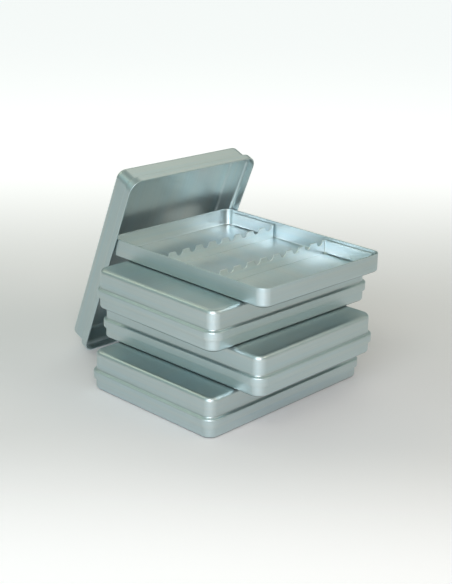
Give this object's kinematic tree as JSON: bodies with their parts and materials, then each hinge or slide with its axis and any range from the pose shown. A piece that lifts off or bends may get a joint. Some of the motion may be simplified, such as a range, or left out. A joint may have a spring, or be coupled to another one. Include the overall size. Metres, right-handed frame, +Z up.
{
  "type": "instrument case set",
  "caption": "Shallow aluminium instrument cases with lift-off stepped lids, closed ones stacked crosswise under an open tray with notched racks, its lid leaning on the stack.",
  "frame": {"origin": "middle of the lowest case's underside, on the surface that the set stands on", "axes": "+Z up; +X along the lowest case's long side; +Y towards the leaning lid, along the long side of the case above it"},
  "size_m": [0.1974, 0.2509, 0.1779],
  "materials": {
    "case_aluminium": "satin natural-anodised, drawn sheet with a cool grey-green cast",
    "rack_aluminium": "satin natural-anodised, bent sheet"
  },
  "bodies": {
    "lower_tray": {"lower_case_tray": "case_aluminium", "lower_case_rear_rack": "rack_aluminium", "lower_case_front_rack": "rack_aluminium"},
    "lower_lid": {"lower_case_lid": "case_aluminium"},
    "middle_tray": {"middle_case_tray": "case_aluminium", "middle_case_rear_rack": "rack_aluminium", "middle_case_front_rack": "rack_aluminium"},
    "middle_lid": {"middle_case_lid": "case_aluminium"},
    "upper_tray": {"upper_case_tray": "case_aluminium", "upper_case_rear_rack": "rack_aluminium", "upper_case_front_rack": "rack_aluminium"},
    "upper_lid": {"upper_case_lid": "case_aluminium"},
    "open_tray": {"open_case_tray": "case_aluminium"},
    "open_rear_rack": {"open_case_rear_rack": "rack_aluminium"},
    "open_front_rack": {"open_case_front_rack": "rack_aluminium"},
    "leaning_lid": {"open_case_lid": "case_aluminium"}
  },
  "joints": [
    {"name": "lower_lid_lift", "type": "slide", "parent": "lower_tray", "child": "lower_lid", "axis": [0, 0, 1], "range_m": [0, 0.03]},
    {"name": "middle_case_lift", "type": "slide", "parent": "lower_lid", "child": "middle_tray", "axis": [0, 0, 1], "range_m": [0, 0.05]},
    {"name": "middle_lid_lift", "type": "slide", "parent": "middle_tray", "child": "middle_lid", "axis": [0, 0, 1], "range_m": [0, 0.03]},
    {"name": "upper_case_lift", "type": "slide", "parent": "middle_lid", "child": "upper_tray", "axis": [0, 0, 1], "range_m": [0, 0.05]},
    {"name": "upper_lid_lift", "type": "slide", "parent": "upper_tray", "child": "upper_lid", "axis": [0, 0, 1], "range_m": [0, 0.03]},
    {"name": "open_tray_lift", "type": "slide", "parent": "upper_lid", "child": "open_tray", "axis": [0, 0, 1], "range_m": [0, 0.05]},
    {"name": "open_rear_rack_lift", "type": "slide", "parent": "open_tray", "child": "open_rear_rack", "axis": [0, 0, 1], "range_m": [0, 0.016]},
    {"name": "open_front_rack_lift", "type": "slide", "parent": "open_tray", "child": "open_front_rack", "axis": [0, 0, 1], "range_m": [0, 0.04]},
    {"name": "leaning_lid_away", "type": "slide", "parent": "open_tray", "child": "leaning_lid", "axis": [0.0279, 0.9996, 0], "range_m": [0, 0.1]}
  ]
}
